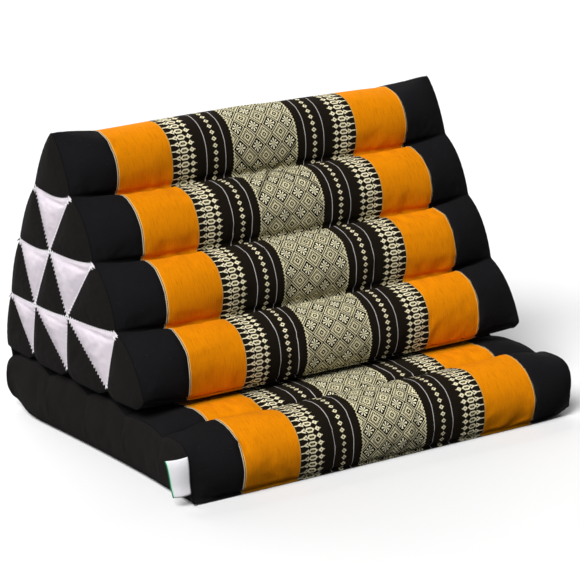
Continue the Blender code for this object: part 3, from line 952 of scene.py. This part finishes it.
def lattice_figures(u, v):
    """Masks of the middle panel: petals, hearts of the flowers, and the other pale threads.

    Flowers and small diamonds stand in the cells of a slanting lattice. far is the distance from the
    nearest flower, measured along the threads: half the lattice at a cell's edge, all of it in the heart of
    a diamond.
    """
    cu = (u + 0.5 * LATTICE).wrapped(LATTICE)
    cv = v.wrapped(LATTICE)
    far = abs(cu) + abs(cv)
    radius = (cu * cu + cv * cv).math("SQRT")
    angle = cv.math("ARCTAN2", cu)
    petals = ((angle * 8.0).math("COSINE") > -0.05).both(between(radius, 1.4, 6.0)).both(far < 7.1)
    hearts = radius < 1.4
    lines = between(far, 9.0, 10.1).either(between(far, 11.8, 12.9))
    dashes = (abs((cu - cv).wrapped(HATCH)) < 0.3 * HATCH).both(abs((cu + cv).wrapped(HATCH)) < 0.3 * HATCH)
    hatch = dashes.both(between(far, 13.0, 17.2))
    ring = between(far, 17.1, 18.7)
    heart = far > 20.6
    return petals, hearts, lines.either(hatch).either(ring).either(heart)


def patterned_cloth(name):
    """Orange plain weave and olive brocade with its temple border, mirrored about the middle of the width."""
    cloth = Fabric(name)
    edge = abs(cloth.u)
    u = edge.snapped(THREAD)
    v = cloth.v.snapped(THREAD)
    border, filling = border_figures(u, v)
    petals, hearts, pale = lattice_figures(cloth.u.snapped(THREAD), v)
    teeth = abs(v.wrapped(PITCH / 2.0))
    panel = (u + teeth) < OLIVE_EDGE
    rim = panel.less((u + teeth) < OLIVE_EDGE - 1.2)
    streaks = cloth.noise(900.0, 60.0, 3.0)
    slubs = cloth.noise(800.0, 75.0, 3.0, 0.6)
    picks = cloth.noise(60.0, 1100.0, 2.0)
    wear = cloth.noise(26.0, 26.0, 3.0)

    colour = cloth.shaded(GROUND, streaks, 0.35)
    colour = cloth.blend(filling, colour, FILLING)
    colour = cloth.blend(border, colour, CREAM)
    first, second = (abs(edge - line) < GREY_LINE_HALF for line in GREY_LINES)
    grey = first.either(second)
    colour = cloth.blend(grey, colour, LINE_GREY)
    olive = cloth.blend(pale.either(rim), OLIVE_DARK, OLIVE_LIGHT)
    olive = cloth.blend(hearts, olive, OLIVE_HEART)
    olive = cloth.blend(petals, olive, OLIVE_PETAL)
    olive = cloth.shaded(olive, picks, 0.14)
    colour = cloth.blend(panel, colour, olive)
    amber = cloth.shaded(ORANGE, streaks * 0.6 + picks * 0.4, 0.15)
    amber = cloth.shaded(amber, wear, 0.07)
    dark = ((slubs - 0.50) * 2.6).math("MAXIMUM", 0.0).both(0.38)
    amber = cloth.blend(dark, amber, ORANGE_SLUB)
    # painted crease shade: the orange turns yellower where the seams hold the cloth, by the held share
    crease_shade_node = cloth.node("ShaderNodeAttribute", attribute_name="held")
    amber = cloth.blend(Field(cloth.tree, crease_shade_node.outputs["Fac"]) * 0.5, amber, ORANGE_PAINTED_CREASE_SHADE)
    colour = cloth.blend(between(edge, *ORANGE_BAND), colour, amber)
    colour = cloth.blend(between(edge, ORANGE_BAND[0], ORANGE_BAND[0] + 0.9), colour, AMBER_EDGE)
    colour = cloth.blend(between(edge, ORANGE_BAND[1], SELVEDGE[0]), colour, EDGE_YELLOW)
    colour = cloth.blend(between(edge, SELVEDGE[0], SELVEDGE[2]), colour, EDGE_CREAM)
    sewn = between(edge, SELVEDGE[0], SELVEDGE[1]).both(abs(cloth.v.wrapped(SEWN_PITCH)) < SEWN_HALF)
    colour = cloth.blend(sewn, colour, SEWN_GAP)
    raised = border.either(pale.either(petals).both(panel))
    height = cloth.weave(0.62, 0.62) * 0.35 + raised * 0.45 + streaks * 0.2 + picks * 0.15
    cloth.shader.inputs["Sheen Tint"].default_value = (1.0, 0.72, 0.35, 1.0)
    return cloth.finish(colour, height, 0.00022, raised * -0.10 + 0.95, 0.015, 0.5, 0.05)


def black_cotton(name, shade):
    cloth = Fabric(name)
    threads = cloth.noise(1500.0, 1500.0, 2.0)
    fade = cloth.noise(30.0, 30.0, 3.0, solid=True)
    lint = cloth.noise(420.0, 420.0, 1.0) > 0.745
    colour = cloth.shaded(shade, threads, 0.30)
    colour = cloth.shaded(colour, fade, 0.16)
    colour = cloth.blend(lint * 0.06, colour, LINT)
    height = cloth.weave(0.66, 0.60) * 0.5 + threads * 0.4
    return cloth.finish(colour, height, 0.00018, 0.95, 0.006, 0.5, 0.06)


def white_cotton(name):
    cloth = Fabric(name)
    threads = cloth.noise(1500.0, 1500.0, 2.0)
    # painted fold shade: random patches of the grey-blue white stand in for the shade of soft folds
    painted_fold_shade_patches = cloth.noise(55.0, 55.0, 2.0, solid=True)
    colour = cloth.blend(painted_fold_shade_patches, WHITE_COTTON, WHITE_PAINTED_FOLD_SHADE)
    colour = cloth.shaded(colour, threads, 0.07)
    folds = cloth.noise(45.0, 75.0, 3.0, solid=True)
    height = cloth.weave(0.60, 0.66) * 0.12 + threads * 0.10 + folds * 0.9
    return cloth.finish(colour, height, 0.0012, 0.9, 0.04, 0.4, 0.15)


def tape_cloth(name):
    """White woven tape with a green selvedge along one edge, where u is 0."""
    cloth = Fabric(name)
    threads = cloth.noise(1500.0, 1500.0, 2.0)
    colour = cloth.shaded(TAPE, threads, 0.05)
    colour = cloth.blend(cloth.u < 2.4, colour, MINT)
    colour = cloth.blend(cloth.u < 1.1, colour, GREEN_EDGE)
    height = cloth.weave(0.5, 0.5) * 0.5 + threads * 0.3
    return cloth.finish(colour, height, 0.00015, 0.7, 0.05, 0.4, 0.2)


def thread_material(name, colour, sheen, specular):
    """Twisted sewing thread or a narrow rolled seam."""
    material = bpy.data.materials.new(name)
    material.use_nodes = True
    tree = material.node_tree
    shader = tree.nodes["Principled BSDF"]
    place = tree.nodes.new("ShaderNodeTexCoord")
    twist = tree.nodes.new("ShaderNodeTexNoise")
    twist.inputs["Scale"].default_value = 900.0
    tree.links.new(place.outputs["Object"], twist.inputs["Vector"])
    shade = tree.nodes.new("ShaderNodeMix")
    shade.data_type = "RGBA"
    shade.inputs[6].default_value = colour
    shade.inputs[7].default_value = tuple(0.72 * c for c in colour[:3]) + (1.0,)
    tree.links.new(twist.outputs["Fac"], shade.inputs[0])
    tree.links.new(shade.outputs[2], shader.inputs["Base Color"])
    bump = tree.nodes.new("ShaderNodeBump")
    bump.inputs["Distance"].default_value = 0.0002
    tree.links.new(twist.outputs["Fac"], bump.inputs["Height"])
    tree.links.new(bump.outputs["Normal"], shader.inputs["Normal"])
    shader.inputs["Roughness"].default_value = 0.85
    shader.inputs["Sheen Weight"].default_value = sheen
    shader.inputs["Specular IOR Level"].default_value = specular
    return material


# Sewing: stitches and seam ridges

def resampled(points, gap):
    """Points about gap apart along a line of points, with the direction of the line at each."""
    points = np.array(points, float)
    lengths = np.linalg.norm(np.diff(points, axis=0), axis=1)
    place = np.concatenate(([0.0], np.cumsum(lengths)))
    count = max(2, round(place[-1] / gap))
    wanted = (np.arange(count) + 0.5) / count * place[-1]
    found = np.column_stack([np.interp(wanted, place, points[:, axis]) for axis in range(3)])
    ahead = np.column_stack([np.interp(np.minimum(wanted + 0.001, place[-1]), place, points[:, axis])
                             for axis in range(3)])
    behind = np.column_stack([np.interp(np.maximum(wanted - 0.001, 0.0), place, points[:, axis])
                              for axis in range(3)])
    along = ahead - behind
    return found, along / np.linalg.norm(along, axis=1)[:, None]


def tube(mesh, path, radii, sides, up):
    """A closed tube along a path, with pointed ends where its radius is small."""
    rings = []
    for number, (point, radius) in enumerate(zip(path, radii)):
        ahead = path[min(number + 1, len(path) - 1)] - path[max(number - 1, 0)]
        ahead = ahead.normalized()
        across = ahead.cross(up).normalized()
        over = across.cross(ahead).normalized()
        ring = []
        for side in range(sides):
            angle = 2.0 * math.pi * side / sides
            ring.append(mesh.verts.new(point + (across * math.cos(angle) + over * math.sin(angle)) * radius))
        rings.append(ring)
    for first, second in zip(rings, rings[1:]):
        for side in range(sides):
            after = (side + 1) % sides
            mesh.faces.new((first[side], first[after], second[after], second[side]))
    mesh.faces.new(rings[0][::-1])
    mesh.faces.new(rings[-1])


def mesh_object(name, mesh, material):
    bmesh.ops.recalc_face_normals(mesh, faces=mesh.faces)
    data = bpy.data.meshes.new(name)
    mesh.to_mesh(data)
    mesh.free()
    data.shade_smooth()
    data.materials.append(material)
    item = bpy.data.objects.new(name, data)
    bpy.context.collection.objects.link(item)
    return item


def whip_stitches(lines, material):
    """White overcast stitches across the seams of the end patchwork."""
    mesh = bmesh.new()
    random = np.random.default_rng(7)
    for line in lines:
        side = math.copysign(1.0, line[0][0])
        up = Vector((side, 0.0, 0.0))
        found, along = resampled(line, STITCH_GAP)
        for point, way in zip(found, along):
            way = Vector(way)
            across = way.cross(up).normalized()
            across = (across + way * random.uniform(0.25, 0.55)).normalized()
            reach = STITCH_REACH * random.uniform(0.8, 1.15)
            path = [Vector(point) + across * reach * share + up * height for share, height in STITCH_ARCH]
            radii = [STITCH_RADIUS * share for share in (0.5, 1.0, 1.0, 1.0, 0.5)]
            tube(mesh, path, radii, 6, up)
    return mesh_object("whip_stitches", mesh, material)


def thread_ends(mesh, side):
    """Loose black thread ends at the back corners of the end patchwork."""
    random = np.random.default_rng(11)
    for level in range(1, len(PATCH_CORNERS)):
        _, y, z = patch_corner(level, len(PATCH_CORNERS) - level)
        for _ in range(3):
            way = Vector((side * random.uniform(0.0, 0.5), random.uniform(0.6, 1.0),
                          random.uniform(-0.8, 0.5)))
            bend = Vector((0.0, random.uniform(-0.3, 0.3), -0.5))
            reach = TUFT_LENGTH * random.uniform(0.6, 1.0)
            start = Vector((side * (HALF_WIDTH + 0.0004), y - 0.0012, z))
            path = [start + (way * share + bend * share * share) * reach for share in TUFT_SHARES]
            tube(mesh, path, TUFT_RADII, 5, Vector((side, 0.0, 0.0)))


def seam_ridges(name, loops, material):
    """Rounded ridges where end panels are sewn on, along closed loops of points."""
    mesh = bmesh.new()
    for side in (-1.0, 1.0):
        thread_ends(mesh, side)
    for loop in loops:
        closed = np.vstack((loop, loop[:1]))
        found, _ = resampled(closed, 0.003)
        path = [Vector(point) for point in found]
        rings = []
        count = len(path)
        centre = Vector(found.mean(axis=0))
        for number, point in enumerate(path):
            ahead = (path[(number + 1) % count] - path[number - 1]).normalized()
            out = Vector((1.0, 0.0, 0.0))
            across = ahead.cross(out).normalized()
            swell = RIDGE_RADIUS * (1.0 + 0.12 * math.sin(2.1 * number))
            ring = []
            for side in range(8):
                angle = 2.0 * math.pi * side / 8
                spoke = across * math.cos(angle) + out * math.sin(angle)
                ring.append(mesh.verts.new(point + spoke * swell))
            rings.append(ring)
        for number, ring in enumerate(rings):
            following = rings[(number + 1) % count]
            for side in range(8):
                after = (side + 1) % 8
                mesh.faces.new((ring[side], ring[after], following[after], following[side]))
    return mesh_object(name, mesh, material)


# Small sheets

TAB_LINE = (                # y and z along the seam it is sewn into, from the foot upwards
    (-0.1895, 0.0129), (-0.1873, 0.0236), (-0.1864, 0.0363), (-0.1850, 0.0456), (-0.1825, 0.0513),
)
TAB_LENGTH_TOP = 0.0250
TAB_LENGTH_BOTTOM = 0.0200
TAB_CURL = 0.0013
TAB_SWING = 0.22            # how far it leans to the back for each metre it stands out
TAB_THICKNESS = 0.0008
TAB_FLAT = (0.0225, 0.042)   # mean length and height
STRIP_LINE = (              # y and z of its inside, from the mat's back up to the triangle's
    (0.1914, 0.0443), (0.1884, 0.0533), (0.1836, 0.0600),
    (0.1841, 0.0655), (0.1925, 0.0839), (0.1960, 0.0959),
)
STRIP_HALF_LENGTH = 0.246
STRIP_WIDTH = 0.0555
STRIP_THICKNESS = 0.0012


def smooth_line(points, count):
    """So many evenly spaced points along a smooth curve through the given ones."""
    points = np.array(points, float)
    ends = np.vstack((2.0 * points[0] - points[1], points, 2.0 * points[-1] - points[-2]))
    fine = []
    for before, start, end, after in zip(ends, ends[1:], ends[2:], ends[3:]):
        for share in np.arange(20) / 20.0:
            fine.append(0.5 * (2.0 * start + (end - before) * share
                               + (2.0 * before - 5.0 * start + 4.0 * end - after) * share ** 2
                               + (3.0 * start - before - 3.0 * end + after) * share ** 3))
    fine = np.array(fine + [points[-1]])
    place = np.concatenate(([0.0], np.cumsum(np.linalg.norm(np.diff(fine, axis=0), axis=1))))
    wanted = np.linspace(0.0, place[-1], count)
    return np.column_stack([np.interp(wanted, place, fine[:, axis]) for axis in range(fine.shape[1])])


def sheet_object(name, grid, flat, thickness, material):
    """A sheet of cloth with a thin edge: grid holds rows of points of its middle, flat their flat places."""
    down = np.gradient(grid, axis=0)
    along = np.gradient(grid, axis=1)
    normal = np.cross(along, down)
    normal /= np.linalg.norm(normal, axis=2)[:, :, None]
    rows, columns = grid.shape[:2]
    near_edge = np.ones((rows, columns))
    near_edge[[0, -1], :] = 0.45
    near_edge[:, [0, -1]] = 0.45
    half = 0.5 * thickness * near_edge[:, :, None]
    front, back = grid + normal * half, grid - normal * half
    shell = Shell()
    cells = [((r, c), (r, c + 1), (r + 1, c + 1), (r + 1, c))
             for r in range(rows - 1) for c in range(columns - 1)]

    def number(key):
        return key[0] * columns + key[1]

    count = rows * columns
    faces = [tuple(number(key) for key in cell) for cell in cells]
    faces += [tuple(count + number(key) for key in reversed(cell)) for cell in cells]
    uvs = [tuple(tuple(flat[key]) for key in cell) for cell in cells]
    uvs += [tuple(tuple(flat[key]) for key in reversed(cell)) for cell in cells]
    rim = [(0, c) for c in range(columns)] + [(r, columns - 1) for r in range(1, rows)]
    rim += [(rows - 1, c) for c in range(columns - 2, -1, -1)] + [(r, 0) for r in range(rows - 2, 0, -1)]
    for first, second in zip(rim, rim[1:] + rim[:1]):
        faces.append((number(second), number(first), count + number(first), count + number(second)))
        uvs.append((tuple(flat[second]), tuple(flat[first]), tuple(flat[first]), tuple(flat[second])))
    shell.add(np.vstack((front.reshape(-1, 3), back.reshape(-1, 3))), faces, uvs, [0] * len(faces))
    return shell.make(name, [material])


def side_tab(material):
    """Blank folded tab that stands out of the mat's front left seam."""
    line = smooth_line(TAB_LINE, 22)
    columns = np.linspace(0.0, 1.0, 15)
    grid, flat = [], []
    for row, (y, z) in enumerate(line):
        up = row / (len(line) - 1)
        length = TAB_LENGTH_BOTTOM + (TAB_LENGTH_TOP - TAB_LENGTH_BOTTOM) * up
        root = -HALF_WIDTH - float(mat_stand_out(1.0, y)) - 0.0003
        wave = TAB_CURL * (0.7 + 0.5 * math.sin(2.4 * up + 0.4))
        across = length * columns
        grid.append(np.column_stack((
            root - across * math.cos(TAB_SWING),
            y - 0.0003 + across * math.sin(TAB_SWING) - wave * np.sin(math.pi * columns),
            z - 0.0006 * np.sin(math.pi * columns) - 0.06 * across,
        )))
        flat.append(np.column_stack((length - across, np.full(len(columns), up * TAB_FLAT[1]))))
    return sheet_object("side_tab_cloth", np.array(grid), np.array(flat), TAB_THICKNESS, material)


def back_of_triangle(closing, z):
    """How far back the triangle's lowest back channel reaches at height z."""
    first = (2 * len(SEAMS_END) - 1) * LOBE_STEPS
    channel = triangle_section(closing)[first:first + LOBE_STEPS + 1][::-1]
    return float(np.interp(z, channel[:, 1], channel[:, 0]))


def hinge_strip(material):
    """Strip of cloth over the backs of both cushions, drawn in at the fold between them."""
    line = smooth_line(STRIP_LINE, 34)
    grid, flat = [], []
    xs = np.linspace(-STRIP_HALF_LENGTH, STRIP_HALF_LENGTH, 160)
    for row, (y, z) in enumerate(line):
        up = row / (len(line) - 1)
        ease = math.sin(math.pi * up)
        lift = np.array([back_of_triangle(closing_at(x), z) for x in xs]) - back_of_triangle(0.0, z)
        lift += (0.0010 + 0.0006 * ease * smooth_noise(xs, 0.012, 91)
                 + 0.0005 * smooth_noise(xs + 0.3 * up, 0.05, 92))
        grid.append(np.column_stack((xs, y + lift, np.full(len(xs), z))))
        flat.append(np.column_stack((xs, np.full(len(xs), up * STRIP_WIDTH))))
    return sheet_object("hinge_strip_cloth", np.array(grid), np.array(flat), STRIP_THICKNESS, material)


# The stage

CAMERA_TARGET = (-0.026, -0.040, 0.155)
CAMERA_AZIMUTH = math.radians(-35.0)
CAMERA_ELEVATION = math.radians(16.37)
CAMERA_DISTANCE = 3.163
CAMERA_LENS = 180.9
LIGHTS = (                  # name, strength, spread in degrees, and where it shines from
    ("soft_key_light", 4.0, 36.0, (-0.62, -0.27, 0.73)),
    ("soft_left_light", 0.55, 60.0, (-0.92, -0.30, 0.25)),
    ("soft_back_light", 2.6, 60.0, (0.20, 0.90, 0.40)),
)
WORLD_LIGHT = 0.07
FLOOR_COLOUR = (0.80, 0.80, 0.80, 1.0)


def add_stage():
    camera_data = bpy.data.cameras.new("camera")
    camera_data.lens = CAMERA_LENS
    camera_data.sensor_width = 36.0
    camera = bpy.data.objects.new("camera", camera_data)
    level = math.cos(CAMERA_ELEVATION)
    back = Vector((math.sin(CAMERA_AZIMUTH) * level, -math.cos(CAMERA_AZIMUTH) * level,
                   math.sin(CAMERA_ELEVATION)))
    camera.location = Vector(CAMERA_TARGET) + back * CAMERA_DISTANCE
    camera.rotation_euler = back.to_track_quat("Z", "Y").to_euler()
    bpy.context.collection.objects.link(camera)
    bpy.context.scene.camera = camera

    floor_data = bpy.data.meshes.new("floor")
    floor_data.from_pydata([(-20, -20, 0), (20, -20, 0), (20, 20, 0), (-20, 20, 0)], [], [(0, 1, 2, 3)])
    floor = bpy.data.objects.new("floor", floor_data)
    paint = bpy.data.materials.new("floor_paint")
    paint.use_nodes = True
    coat = paint.node_tree.nodes["Principled BSDF"].inputs
    coat["Base Color"].default_value = FLOOR_COLOUR
    coat["Roughness"].default_value = 1.0
    coat["Specular IOR Level"].default_value = 0.0
    floor_data.materials.append(paint)
    bpy.context.collection.objects.link(floor)
    floor.visible_diffuse = False       # the floor throws no light back under the channels

    for name, strength, spread, towards in LIGHTS:
        light = bpy.data.lights.new(name, "SUN")
        light.energy = strength
        light.angle = math.radians(spread)
        lamp = bpy.data.objects.new(name, light)
        lamp.rotation_euler = Vector(towards).to_track_quat("Z", "Y").to_euler()
        bpy.context.collection.objects.link(lamp)
    world = bpy.data.worlds.new("studio")
    world.use_nodes = True
    sky = world.node_tree.nodes["Background"].inputs
    sky["Color"].default_value = (1.0, 1.0, 1.0, 1.0)
    sky["Strength"].default_value = WORLD_LIGHT
    bpy.context.scene.world = world
    bpy.context.scene.view_settings.view_transform = "Standard"


def main():
    black = black_cotton("black_cotton", BLACK_COTTON)
    end_black = black_cotton("end_cotton", END_COTTON)
    cushion_cloth = [patterned_cloth("patterned_cloth"), black, end_black, white_cotton("white_cotton")]
    cushion, stitched = wedge_cushion(cushion_cloth)
    settle(cushion)
    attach(cushion, "root")
    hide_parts("wedge_cushion")

    mat, mat_ends = seat_mat(cushion_cloth[:3])
    settle(mat)
    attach(mat, "root")
    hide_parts("seat_mat")

    strip = hinge_strip(black)
    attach(strip, "root")
    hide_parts("hinge_strip")

    tab = side_tab(tape_cloth("white_tape"))
    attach(tab, "root")
    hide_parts("side_tab")

    white_thread = thread_material("white_thread", tint((240, 238, 240)), 0.08, 0.3)
    stitches = whip_stitches(stitched, white_thread)
    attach(stitches, "root")

    wedge_rings = []
    for side in (-1.0, 1.0):
        outline = triangle_section(1.0)
        reach = side * (HALF_WIDTH + base_stand_out(1.0))
        wedge_rings.append(np.column_stack((reach, outline)))
    black_thread = thread_material("black_thread", tint((20, 19, 20)), 0.0, 0.05)
    ridges = seam_ridges("end_seams", wedge_rings + list(mat_ends), black_thread)
    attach(ridges, "root")

    add_stage()


main()
